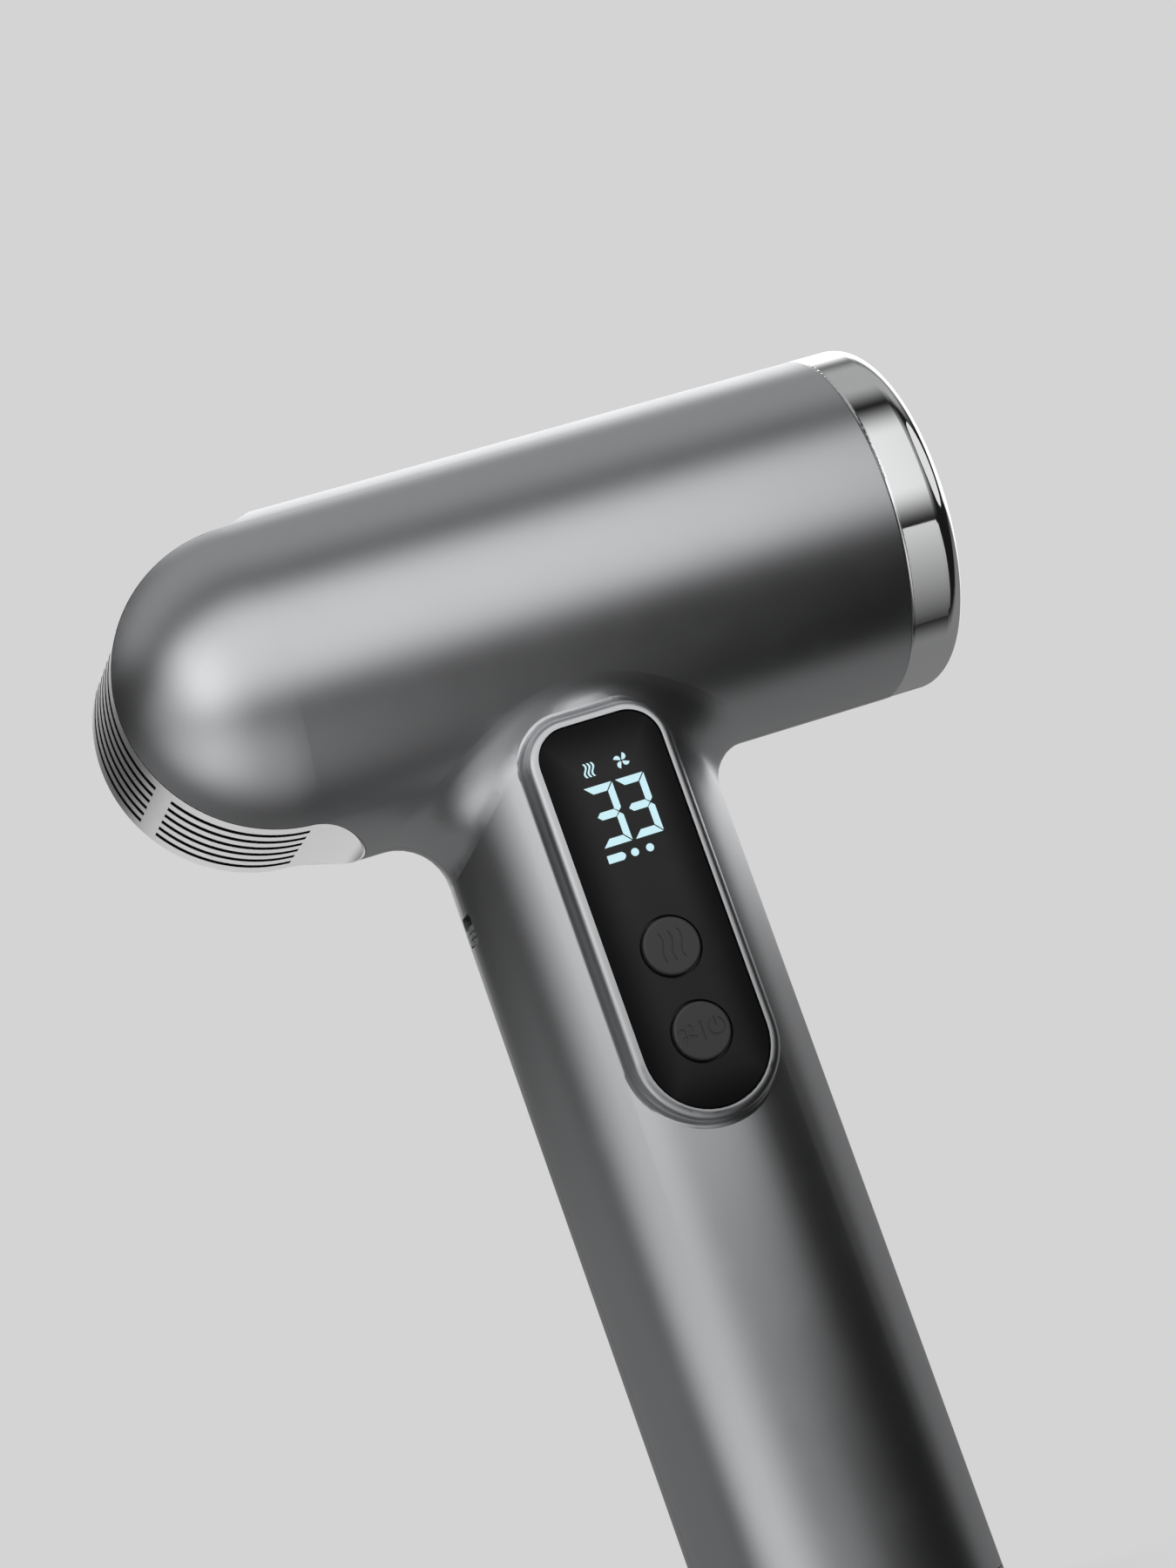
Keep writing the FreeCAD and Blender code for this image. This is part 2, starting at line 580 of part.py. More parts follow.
def wave(x, z, height, swing, stroke):
    """Upright wavy line with constant sideways thickness."""
    steps = 8
    side = []
    for i in range(steps + 1):
        t = i / steps
        side.append((x + swing * math.sin(2 * math.pi * t), z + height * (0.5 - t)))
    return [(px - stroke / 2, pz) for px, pz in side] + [(px + stroke / 2, pz) for px, pz in side[::-1]]


def fan_blade(x, z, r, degrees):
    """One curved blade of the fan mark: straight along its leading edge and round behind it."""
    steps = 10
    middle = 0.56 * r
    reach = 0.44 * r
    outline = []
    for i in range(steps + 1):
        t = math.pi * i / steps
        outline.append((x + 1.15 * reach * math.sin(t), z + middle - reach * math.cos(t)))
    blade = segment(outline)
    blade.rotate(V(x, 0, z), V(0, 1, 0), degrees)
    return blade


def lit_shapes():
    shapes = digit_three(DIGIT_X[0], DIGIT_TOP_Z) + digit_three(DIGIT_X[1], DIGIT_TOP_Z)
    shapes += [segment(wave(ICON_X[0] + dx, ICON_Z, 2.1, 0.24, 0.3)) for dx in (-0.58, 0, 0.58)]
    shapes += [fan_blade(ICON_X[1], ICON_Z, 1.2, 20 + 90 * i) for i in range(4)]
    x0, x1 = LEVEL_BAR_X
    low = LEVEL_Z - LEVEL_H / 2
    high = LEVEL_Z + LEVEL_H / 2
    bar = segment([(x0, low), (x1 - 0.4, low), (x1, low + 0.4), (x1, high - 0.4), (x1 - 0.4, high), (x0, high)])
    dots = [cyl_y(LEVEL_DOT_R, PANEL_Y, PANEL_Y + LIT_T, x, LEVEL_Z) for x in LEVEL_DOT_X]
    return shapes + [bar] + dots


def make_panel():
    lit = lit_shapes()
    save("display_segments", group(lit))
    cover = panel_prism(0, PANEL_Y, PANEL_Y + PANEL_T)
    cover = cover.makeFillet(0.25, edges_where(cover, lambda b: b.YMax < PANEL_Y + 0.01))
    for z in BUTTON_Z.values():
        cover = cover.cut(cyl_y(BUTTON_HOLE_R, PANEL_Y - 1, PANEL_Y + PANEL_T + 1, 0, z))
    save("panel_cover", cover.cut(group(lit)))

    back = PANEL_Y + PANEL_T
    guide_top = BUTTON_Z["heat_button"] + GUIDE_MARGIN
    guide_bottom = BUTTON_Z["power_button"] - GUIDE_MARGIN
    guide = box(-GUIDE_HALF_W, GUIDE_HALF_W, back + 0.05, BOARD_Y - 0.05, guide_bottom, guide_top)
    for z in BUTTON_Z.values():
        guide = guide.cut(cyl_y(FLANGE_R + 0.15, back, BOARD_Y + 1, 0, z))
    save("button_guide", guide)

    block = box(-6.6, 6.6, back + 0.05, BOARD_Y - 0.05, LEVEL_Z - 2.0, ICON_Z + 2.4)
    save("display_block", block)

    board = box(-8.6, 8.6, BOARD_Y, BOARD_Y + 1.2, -77.5, -24.5)
    save("display_board", board)
    switches = []
    for z in BUTTON_Z.values():
        body = box(-3.1, 3.1, BOARD_Y - 1.7, BOARD_Y - 0.02, z - 3.1, z + 3.1)
        switches.append(body.fuse(cyl_y(1.6, BOARD_Y - 2.2, BOARD_Y - 1, 0, z)).removeSplitter())
    save("button_switches", group(switches))


def make_buttons():
    front = PANEL_Y - BUTTON_PROUD
    back = PANEL_Y + PANEL_T
    for name, z in BUTTON_Z.items():
        cap = cyl_y(BUTTON_R, front, back + 0.3, 0, z)
        cap = cap.makeFillet(0.35, edges_where(cap, lambda b: b.YMax < front + 0.01))
        flange = cyl_y(FLANGE_R, back + 0.15, back + 0.9, 0, z)
        stem = cyl_y(1.5, back + 0.5, BOARD_Y - 2.2 - BUTTON_TRAVEL - 0.15, 0, z)
        button = fuse([cap, flange, stem])
        for mark in button_marks(name, z):
            button = button.cut(mark)
        save(name, button)


def button_marks(name, z):
    """Shallow engraved marks: three heat waves, or a fan, a bar and a power sign."""
    front = PANEL_Y - BUTTON_PROUD
    shift = V(0, front - PANEL_Y + MARK_DEPTH - LIT_T, 0)
    if name == "heat_button":
        marks = [segment(wave(dx, z, 4.4, 0.3, 0.26)) for dx in (-1.45, 0, 1.45)]
    else:
        marks = [fan_blade(-2.3, z, 1.5, 20 + 90 * i) for i in range(4)]
        marks.append(segment([(-0.13, z - 1.5), (0.13, z - 1.5), (0.13, z + 1.5), (-0.13, z + 1.5)]))
        ring = cyl_y(1.35, PANEL_Y, PANEL_Y + LIT_T, 2.15, z).cut(
            cyl_y(1.05, PANEL_Y - 1, PANEL_Y + 1, 2.15, z))
        ring = ring.cut(box(2.15 - 0.6, 2.15 + 0.6, PANEL_Y - 1, PANEL_Y + 1, z, z + 2))
        marks.append(ring)
        marks.append(segment([(2.02, z + 0.2), (2.28, z + 0.2), (2.28, z + 1.5), (2.02, z + 1.5)]))
    for mark in marks:
        mark.translate(shift)
    return marks


# ---- slide key ----
def make_slide_key():
    low = KEY_Z - KEY_WINDOW_H / 2 + 0.2
    half = KEY_WINDOW_W / 2 - 0.15
    inner = HANDLE_R - WALL
    face_x = -HANDLE_R + 0.45
    chip = box(face_x, -inner + 1.0, -half, half, low, low + KEY_H)
    chip = chip.makeFillet(KEY_CORNER_R, edges_where(chip, lambda b: b.XLength > 2))
    for z in (low + 1.0, low + 1.9):
        chip = chip.cut(box(face_x - 1, face_x + 0.3, -half - 1, half + 1, z - 0.2, z + 0.2))
    flange = box(-inner + 0.55, -inner + 1.3, -3.1, 3.1, low - 1.0, low + KEY_H + 0.8)
    post = box(-inner + 1.2, -inner + 2.6, -0.5, 0.5, low + 0.9, low + 1.9)
    save("slide_key", fuse([chip, flange, post]))
    x0 = -inner + 1.6
    body = box(x0, x0 + 3.6, -3.0, 3.0, low - 1.8, low + KEY_H + KEY_TRAVEL + 1.4)
    body = body.cut(box(x0 - 1, x0 + 1.4, -0.8, 0.8, low + 0.6, low + 2.2 + KEY_TRAVEL))
    save("slide_switch", body)


# ---- handle electronics ----
def make_control_board():
    x = BOARD_HALF_W
    board = box(-x, x, CONTROL_Y, CONTROL_Y + 1.4, CONTROL_Z0, CONTROL_Z1)
    save("control_board", board)
    back = CONTROL_Y + 1.45
    tray = box(-x - 0.9, x + 0.9, back, back + 1.2, CONTROL_Z0 - 0.9, CONTROL_Z1 + 0.9)
    lip = box(-x - 0.9, x + 0.9, CONTROL_Y - 1.0, back + 1.2, CONTROL_Z0 - 0.9, CONTROL_Z1 + 0.9).cut(
        box(-x - 0.1, x + 0.1, CONTROL_Y - 2, back + 2, CONTROL_Z0 - 2, CONTROL_Z1 + 2))
    save("board_tray", fuse([tray, lip]))
    top = CONTROL_Y - 0.05
    z0 = CONTROL_Z0
    save("capacitor", cyl_z(4.0, z0 + 12, z0 + 30, -6.5, top - 4.2))
    save("mains_filter", box(0.5, 9.5, top - 7.5, top, z0 + 20, z0 + 31))
    sink = box(-10, 9, top - 1.2, top, z0 + 36, z0 + 47)
    fins = [box(px, px + 0.8, top - 6.5, top - 1.0, z0 + 36, z0 + 47) for px in range(-10, 10, 3)]
    save("heat_sink", fuse([sink] + fins))
    block = box(-6, 6, top - 7, top, z0 + 1, z0 + 8)
    for px in (-3, 3):
        block = block.cut(cyl_y(1.6, top - 8, top - 3, px, z0 + 4.5))
        block = block.cut(cyl_z(1.4, z0, z0 + 4, px, top - 4))
    save("terminal_block", block)
    ion = box(-14, -4.5, -9, 5, -84, -62)
    ion = ion.makeFillet(1.0, edges_where(ion, lambda b: b.ZLength > 20))
    save("ion_module", ion)


def make_leads():
    """Leads run straight up the handle from the control board to the motor board and the heater."""
    z0 = CONTROL_Z1 + 1.2
    motor = [cyl_z(LEAD_R, z0, -7.0, MOTOR_LEAD_X, y) for y in (-2.2, 0, 2.2)]
    save("motor_leads", group(motor))
    heater = [cyl_z(LEAD_R, z0, -HEATER_HALF_H + 4, HEATER_LEAD_X, y) for y in (-1.3, 1.3)]
    save("heater_leads", group(heater))


def make_end_cap():
    top = CAP_SEAM_Z - 0.12
    plate = cyl_z(HANDLE_R, HANDLE_END_Z, top)
    edge = edges_where(plate, lambda b: b.ZMax < HANDLE_END_Z + 0.01)
    plate = plate.makeFillet(CAP_FILLET, edge)
    spigot_r = HANDLE_R - WALL - 0.1
    plate = plate.cut(cyl_z(spigot_r - 1.5, HANDLE_END_Z + 3, top + 1))
    spigot = cyl_z(spigot_r, CAP_SEAM_Z - 2, CAP_SPIGOT_Z).cut(
        cyl_z(spigot_r - 1.5, CAP_SEAM_Z - 3, CAP_SPIGOT_Z + 1))
    for x in (-SCREW_X, SCREW_X):
        for z in SCREW_Z:
            spigot = spigot.cut(cyl_y(SCREW_COLUMN_R + 0.3, -HANDLE_R, HANDLE_R, x, z))
    gland = cyl_z(INLET_R + 2.2, HANDLE_END_Z + 1, CAP_SPIGOT_Z - 1)
    cap = fuse([plate, spigot, gland])
    cap = cap.cut(cyl_z(INLET_R, HANDLE_END_Z - 1, CAP_SPIGOT_Z + 1))
    cap = cap.cut(cyl_z(INLET_POCKET_R, HANDLE_END_Z + INLET_L, CAP_SPIGOT_Z + 1))
    save("end_cap", cap)


def main():
    os.makedirs("parts", exist_ok=True)
    make_housings()
    make_screws()
    make_intake()
    make_outlet()
    make_ducts()
    make_motor()
    make_rotor()
    make_motor_board()
    make_heater()
    make_panel()
    make_buttons()
    make_slide_key()
    make_control_board()
    make_leads()
    make_end_cap()


main()
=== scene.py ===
"""Looks of the hair dryer: studio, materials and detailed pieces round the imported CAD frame."""
import math

import bpy
import bmesh
from mathutils import Matrix, Vector
from mathutils.kdtree import KDTree


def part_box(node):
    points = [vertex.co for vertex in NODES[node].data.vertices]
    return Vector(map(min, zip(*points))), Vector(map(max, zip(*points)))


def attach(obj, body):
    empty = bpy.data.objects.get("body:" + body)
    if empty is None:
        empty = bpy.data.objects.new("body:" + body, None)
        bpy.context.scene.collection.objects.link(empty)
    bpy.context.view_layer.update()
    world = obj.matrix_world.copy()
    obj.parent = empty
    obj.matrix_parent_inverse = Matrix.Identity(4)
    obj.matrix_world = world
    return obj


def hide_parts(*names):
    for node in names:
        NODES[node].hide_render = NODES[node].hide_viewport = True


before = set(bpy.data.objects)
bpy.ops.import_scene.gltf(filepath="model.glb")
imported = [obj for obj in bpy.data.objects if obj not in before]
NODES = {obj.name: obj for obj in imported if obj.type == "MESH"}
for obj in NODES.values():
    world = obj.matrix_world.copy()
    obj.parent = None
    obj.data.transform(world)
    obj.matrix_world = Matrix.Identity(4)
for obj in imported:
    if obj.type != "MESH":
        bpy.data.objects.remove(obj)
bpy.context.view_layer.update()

MM = 0.001
UM = 0.000001
WHITE = (1, 1, 1, 1)


# ---- places taken from the frame ----
def centre(node):
    low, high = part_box(node)
    return (low + high) / 2


AXIS_Z = centre("outlet_ring").z                    # height of the barrel's axis
CROSSING = Vector((0, 0, AXIS_Z))                   # where the two axes meet
BAND_R = 22.9 * MM                                  # main curve of the intake band
BAND_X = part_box("intake_grille")[0].x + BAND_R      # centre of that curve, and of the rear dome


# ---- camera ----
CAMERA_AZIMUTH = math.radians(16.35)    # turned from -Y towards -X
CAMERA_ELEVATION = math.radians(-9.03)  # looks slightly up at the barrel
CAMERA_ROLL = math.radians(19.68)
CAMERA_DISTANCE = 575.18 * MM
CAMERA_LENS = 87.776                    # in Blender's lens units, as the sensor's height
SENSOR_HEIGHT = 36.0
CAMERA_RIGHT = 11.79 * MM               # how far the view's centre lies from the crossing
CAMERA_UP = -23.70 * MM


def camera_axes():
    """Right, up and backward directions of the first view, in the part's frame."""
    a = CAMERA_AZIMUTH
    e = CAMERA_ELEVATION
    back = Vector((-math.sin(a) * math.cos(e), -math.cos(a) * math.cos(e), math.sin(e)))
    level = Vector((math.cos(a), -math.sin(a), 0))
    raised = back.cross(level)
    right = math.cos(CAMERA_ROLL) * level - math.sin(CAMERA_ROLL) * raised
    up = math.sin(CAMERA_ROLL) * level + math.cos(CAMERA_ROLL) * raised
    return right, up, back


RIGHT, UP, BACK = camera_axes()


def axes_matrix(right, up, back):
    """The turn that points a camera or a lamp, which both look along their own -Z, away from back."""
    return Matrix((right, up, back)).transposed().to_4x4()


def make_camera():
    data = bpy.data.cameras.new("camera")
    data.lens = CAMERA_LENS
    data.sensor_fit = "VERTICAL"
    data.sensor_height = SENSOR_HEIGHT
    data.clip_start = 0.01
    data.clip_end = 50.0
    camera = bpy.data.objects.new("camera", data)
    place = CROSSING + BACK * CAMERA_DISTANCE + RIGHT * CAMERA_RIGHT + UP * CAMERA_UP
    camera.matrix_world = Matrix.Translation(place) @ axes_matrix(RIGHT, UP, BACK)
    bpy.context.scene.collection.objects.link(camera)
    bpy.context.scene.camera = camera


# ---- node trees ----
class Tree:
    """A short way to write a node tree: most calls add a node and return its output."""

    def __init__(self, tree):
        self.tree = tree
        tree.nodes.clear()

    def add(self, kind, settings=None, inputs=None):
        """Adds a node and returns the node itself."""
        node = self.tree.nodes.new(kind)
        for name, value in (settings or {}).items():
            setattr(node, name, value)
        for name, value in (inputs or {}).items():
            self.put(node.inputs[name], value)
        return node

    def put(self, socket, value):
        if isinstance(value, bpy.types.NodeSocket):
            self.tree.links.new(value, socket)
        else:
            socket.default_value = value

    def math(self, operation, *values):
        node = self.add("ShaderNodeMath", {"operation": operation})
        for i, value in enumerate(values):
            self.put(node.inputs[i], value)
        return node.outputs[0]

    def vector(self, operation, *values):
        node = self.add("ShaderNodeVectorMath", {"operation": operation})
        for i, value in enumerate(values):
            self.put(node.inputs[i], value)
        return node.outputs["Value" if operation == "DOT_PRODUCT" else "Vector"]

    def axes(self, vector):
        """The three parts of a vector."""
        return self.add("ShaderNodeSeparateXYZ", {}, {"Vector": vector}).outputs

    def ramp(self, value, start, end, low=0.0, high=1.0, smooth=True):
        """Runs from low to high while the value runs from start to end, and stays there outside."""
        node = self.add("ShaderNodeMapRange", {"interpolation_type": "SMOOTHSTEP" if smooth else "LINEAR"})
        for i, item in enumerate((value, start, end, low, high)):
            self.put(node.inputs[i], item)
        return node.outputs[0]

    def noise(self, vector, scale, detail=2.0, rough=0.5):
        node = self.add("ShaderNodeTexNoise", {}, {
            "Vector": vector, "Scale": scale, "Detail": detail, "Roughness": rough})
        return node.outputs["Fac"]

    def spread(self, noise, low, high):
        """Takes a noise, most of which lies between 0.3 and 0.7, to the range from low to high."""
        return self.ramp(noise, 0.3, 0.7, low, high, False)

    def bump(self, height, depth):
        node = self.add("ShaderNodeBump", {}, {"Strength": 1.0, "Distance": depth, "Height": height})
        return node.outputs[0]

    def glow(self, strength):
        """Plain white light."""
        return self.add("ShaderNodeEmission", {}, {"Color": WHITE, "Strength": strength}).outputs[0]

    def mix(self, factor, a, b):
        """A blend of two colours, which the node has as its sockets 6 and 7, and 2 for the result."""
        node = self.add("ShaderNodeMix", {"data_type": "RGBA"})
        self.put(node.inputs[0], factor)
        self.put(node.inputs[6], a)
        self.put(node.inputs[7], b)
        return node.outputs[2]


# ---- studio ----
PALE = 0.658                            # the backdrop's plain light grey
AMBIENT = 0.01                          # faint even light from every side
STUDIO_RADIUS = 350 * MM                # the soft boxes stand on a sphere about the crossing

# A photographer's set-up: a large key in front, a tall fill at the left for the handle, weak fills
# above and below, and a strong light over the top that draws the upper edge.
# name: turned from -Y towards +X, raised from -Y over +Z, width and height in degrees,
# width of the soft edge, brightness
SOFT_BOXES = {
    "key": (-10, 20, 90, 60, 25, 1.0),
    "left_fill": (-55, -15, 45, 100, 30, 0.5),
    "low_fill": (-30, -50, 70, 45, 30, 0.45),
    "top_fill": (0, 90, 120, 40, 20, 0.4),
    "over": (35, 150, 100, 60, 20, 1.5),
    "under": (0, -135, 160, 80, 20, 0.2),
}

# panels that light one piece only: the piece, turned and raised, distance in mm, width and height
# in degrees, brightness at the lower and at the upper edge
PANELS = {
    "ring_side": ("outlet_ring", 21, -55, 280, 26, 72, 0.02, 0.68),
    "ring_front": ("outlet_ring", 62, 24, 280, 56, 48, 0.80, 0.80),
    "band": ("intake_band", -5, -160, 280, 46, 34, 0.47, 0.47),
}


def soft_box(tree, across, above, box):
    """Brightness of one soft box in the direction (across, above), in degrees."""
    mid_a, mid_b, wide, tall, edge, radiance = box
    off_a = tree.math("ABSOLUTE", tree.math("SUBTRACT", across, mid_a))
    off_b = tree.math("ABSOLUTE", tree.math("WRAP", tree.math("SUBTRACT", above, mid_b), 180.0, -180.0))
    in_a = tree.ramp(off_a, (wide + edge) / 2, (wide - edge) / 2)
    in_b = tree.ramp(off_b, (tall + edge) / 2, (tall - edge) / 2)
    return tree.math("MULTIPLY", tree.math("MULTIPLY", in_a, in_b), radiance)


def make_world():
    world = bpy.data.worlds.new("backdrop")
    world.use_nodes = True
    bpy.context.scene.world = world
    tree = Tree(world.node_tree)
    plain = tree.add("ShaderNodeBackground", {}, {"Color": (PALE, PALE, PALE, 1)})
    tree.add("ShaderNodeOutputWorld", {}, {"Surface": plain.outputs[0]})


def make_studio():
    """A sphere of soft boxes that lights the object but is never seen itself."""
    mesh = bpy.data.meshes.new("studio")
    form = bmesh.new()
    bmesh.ops.create_uvsphere(form, u_segments=64, v_segments=32, radius=STUDIO_RADIUS)
    form.to_mesh(mesh)
    form.free()
    studio = bpy.data.objects.new("studio", mesh)
    studio.location = CROSSING
    bpy.context.scene.collection.objects.link(studio)
    material = bpy.data.materials.new("studio_light")
    material.use_nodes = True
    tree = Tree(material.node_tree)
    place = tree.add("ShaderNodeTexCoord").outputs["Object"]
    way = tree.axes(tree.vector("NORMALIZE", place))
    front = tree.math("MULTIPLY", way[1], -1.0)
    across = tree.math("DEGREES", tree.math("ARCSINE", way[0]))
    above = tree.math("DEGREES", tree.math("ARCTAN2", way[2], front))
    light = AMBIENT
    for box in SOFT_BOXES.values():
        light = tree.math("ADD", light, soft_box(tree, across, above, box))
    tree.add("ShaderNodeOutputMaterial", {}, {"Surface": tree.glow(light)})
    mesh.materials.append(material)
    studio.visible_camera = False
    studio.visible_shadow = False


def direction(across, above):
    """The direction that a light in the tables stands in, seen from the object."""
    a = math.radians(across)
    b = math.radians(above)
    return Vector((math.sin(a), -math.cos(a) * math.cos(b), math.cos(a) * math.sin(b)))


def middle(piece):
    """The centre of the piece's own box."""
    corners = [piece.matrix_world @ Vector(corner) for corner in piece.bound_box]
    return sum(corners, Vector()) / len(corners)


def make_panel(name, piece, across, above, distance, wide, tall, low, high):
    """A panel that lights a single piece, evenly or fading from its upper edge to its lower edge."""
    back = direction(across, above)
    side = direction(across + 90, above)
    data = bpy.data.lights.new(name, "AREA")
    data.shape = "RECTANGLE"
    data.size = math.radians(wide) * distance * MM
    data.size_y = math.radians(tall) * distance * MM
    data.energy = math.pi * data.size * data.size_y     # makes the strength below its brightness
    data.use_nodes = True
    tree = Tree(data.node_tree)
    spot = tree.axes(tree.add("ShaderNodeNewGeometry").outputs["Parametric"])
    fade = tree.ramp(spot[1], 0.0, 1.0, low, high, False)
    tree.add("ShaderNodeOutputLight", {}, {"Surface": tree.glow(fade)})
    light = bpy.data.objects.new(name, data)
    place = middle(piece) + back * distance * MM
    light.matrix_world = Matrix.Translation(place) @ axes_matrix(side, back.cross(side), back)
    bpy.context.scene.collection.objects.link(light)
    light.visible_camera = False
    lit = bpy.data.collections.new(name + "_serves")
    lit.objects.link(piece)
    light.light_linking.receiver_collection = lit


FLOOR_SIZE = 6.0                        # half of its side, in metres
FLOOR_DROP = 0.3 * MM                   # keeps the floor clear of the end cap's own face
CONTACT_REACH = 35 * MM                 # how far round the base the painted contact shadow reaches
CONTACT_SHADE = 0.30                    # brightness of the floor right at the base, inside the painted contact shadow


def make_floor():
    """A pale glowing floor with a painted contact shadow round the base, which can't be seen from below.
    """
    mesh = bpy.data.meshes.new("floor")
    form = bmesh.new()
    bmesh.ops.create_grid(form, x_segments=1, y_segments=1, size=FLOOR_SIZE)
    form.to_mesh(mesh)
    form.free()
    floor = bpy.data.objects.new("floor", mesh)
    bpy.context.scene.collection.objects.link(floor)
    material = bpy.data.materials.new("floor_paint")
    material.use_nodes = True
    tree = Tree(material.node_tree)
    # painted contact shadow: the floor's glow is dimmed by ambient occlusion near the base
    near = tree.add("ShaderNodeAmbientOcclusion", {"samples": 8}, {"Distance": CONTACT_REACH})
    shade = tree.ramp(near.outputs["AO"], 0.0, 1.0, CONTACT_SHADE, PALE)
    clear = tree.add("ShaderNodeBsdfTransparent").outputs[0]
    under = tree.add("ShaderNodeNewGeometry").outputs["Backfacing"]
    both = tree.add("ShaderNodeMixShader", {}, {"Fac": under, 1: tree.glow(shade), 2: clear})
    tree.add("ShaderNodeOutputMaterial", {}, {"Surface": both.outputs[0]})
    mesh.materials.append(material)
    floor.location.z = -FLOOR_DROP
    floor.visible_glossy = False
    floor.visible_diffuse = False


# ---- materials ----
def shader_of(tree, colour, rough, metallic, normal, settings=None):
    """Ends a material's tree with its surface."""
    inputs = {"Base Color": colour, "Roughness": rough, "Metallic": metallic, "Normal": normal}
    inputs.update(settings or {})
    shader = tree.add("ShaderNodeBsdfPrincipled", {}, inputs)
    tree.add("ShaderNodeOutputMaterial", {}, {"Surface": shader.outputs[0]})


def start(name):
    """A new material, its tree and the coordinates that its patterns follow."""
    material = bpy.data.materials.new(name)
    material.use_nodes = True
    tree = Tree(material.node_tree)
    place = tree.add("ShaderNodeTexCoord").outputs["Object"]
    return material, tree, place


def rgba(colour, factor=1.0):
    """The colour made lighter or darker by a factor."""
    return tuple(min(1.0, c * factor) for c in colour) + (1,)


def stretched(tree, place, scale):
    """Coordinates squeezed along some axes, for streaks left by turning, drawing or brushing."""
    node = tree.add("ShaderNodeMapping", {}, {"Vector": place, "Scale": scale})
    return node.outputs[0]


WEAR_TO_CLOUD = 0.31                    # size of the rubbed patches over that of the clouds
SPECK_TO_GRAIN = 3.1                    # size of the specks over that of the grain
SPECK_SHADE = 0.45
SPECK_DEPTH = 1.5                       # depth of a speck over that of the grain


def finish(name, colour, rough, metallic=0.0, grain_mm=0.25, bump_um=2.0, cloud_mm=14.0, tone=0.04,
           rough_span=0.03, streak=None, speck=0.0):
    """A surface with fine grain, slow changes in roughness and tone, and a few handling marks.

    streak squeezes the grain along an axis; speck is how strongly scattered pits or dust show.
    """
    material, tree, place = start(name)
    fine = stretched(tree, place, streak) if streak else place
    grain = tree.noise(fine, 1 / (grain_mm * MM), 3.0)
    cloud = tree.noise(place, 1 / (cloud_mm * MM), 4.0, 0.6)
    wear = tree.noise(place, 1 / (cloud_mm * WEAR_TO_CLOUD * MM), 6.0, 0.7)
    height = grain
    colour_out = tree.mix(cloud, rgba(colour, 1 - tone), rgba(colour, 1 + tone))
    if speck:
        dots = tree.ramp(tree.noise(place, 1 / (grain_mm * SPECK_TO_GRAIN * MM), 1.0), 0.66, 0.72)
        colour_out = tree.mix(tree.math("MULTIPLY", dots, speck), colour_out, rgba(colour, SPECK_SHADE))
        height = tree.math("SUBTRACT", grain, tree.math("MULTIPLY", dots, SPECK_DEPTH))
    slow = tree.spread(cloud, rough - rough_span, rough + rough_span)
    rough_out = tree.math("ADD", slow, tree.ramp(wear, 0.55, 0.75, 0.0, rough_span))
    shader_of(tree, colour_out, rough_out, metallic, tree.bump(height, bump_um * UM))
    return material


def satin_housing(name, colour):
    """Fine metallic lacquer: tiny flakes, a soft orange peel and faintly rubbed patches."""
    material, tree, place = start(name)
    flake = tree.add("ShaderNodeTexVoronoi", {}, {"Vector": place, "Scale": 1 / (0.09 * MM)}).outputs
    peel = tree.noise(place, 1 / (0.9 * MM), 2.0)
    cloud = tree.noise(place, 1 / (24 * MM), 3.0, 0.6)
    rub = tree.ramp(tree.noise(place, 1 / (6 * MM), 5.0, 0.65), 0.5, 0.8)
    sparkle = tree.ramp(flake["Color"], 0.0, 1.0, 0.985, 1.015, False)
    tint = tree.mix(cloud, rgba(colour, 0.985), rgba(colour, 1.015))
    lacquer = tree.add("ShaderNodeVectorMath", {"operation": "SCALE"}, {0: tint, "Scale": sparkle})
    height = tree.math("ADD", tree.math("MULTIPLY", peel, 0.7),
                       tree.math("MULTIPLY", flake["Distance"], 0.3))
    rough = tree.math("ADD", tree.spread(cloud, 0.315, 0.34), tree.math("MULTIPLY", rub, 0.02))
    shader_of(tree, lacquer.outputs[0], rough, 1.0, tree.bump(height, 1.2 * UM))
    return material


def silver_band(name):
    """Bright satin plating, brushed across the band, with painted shade: the slots' walls are made near
    black and without shine.
    """
    material, tree, place = start(name)
    # the outer face looks away from the band's centre line; the slots' walls don't
    out = tree.vector("MULTIPLY", tree.vector("SUBTRACT", place, (BAND_X, 0, AXIS_Z)), (1, 0, 1))
    facing = tree.add("ShaderNodeTexCoord").outputs["Normal"]
    outward = tree.vector("DOT_PRODUCT", tree.vector("NORMALIZE", out), facing)
    painted_shade_walls = tree.ramp(outward, 0.35, 0.6, 1.0, 0.0)
    brush = tree.noise(stretched(tree, place, (1.0, 14.0, 1.0)), 1 / (1.4 * MM), 4.0, 0.6)
    cloud = tree.noise(place, 1 / (9 * MM), 3.0, 0.6)
    bright = tree.mix(cloud, (0.90, 0.90, 0.90, 1), (0.94, 0.94, 0.94, 1))
    # painted shade: the slots' walls get a near-black colour and, below, no metal and no shine
    colour = tree.mix(painted_shade_walls, bright, (0.01, 0.01, 0.01, 1))
    plated = tree.math("SUBTRACT", 1.0, painted_shade_walls)
    shader_of(tree, colour, tree.spread(brush, 0.30, 0.36), plated, tree.bump(brush, 1.5 * UM), {
        "Specular IOR Level": tree.math("MULTIPLY", plated, 0.5)})
    return material


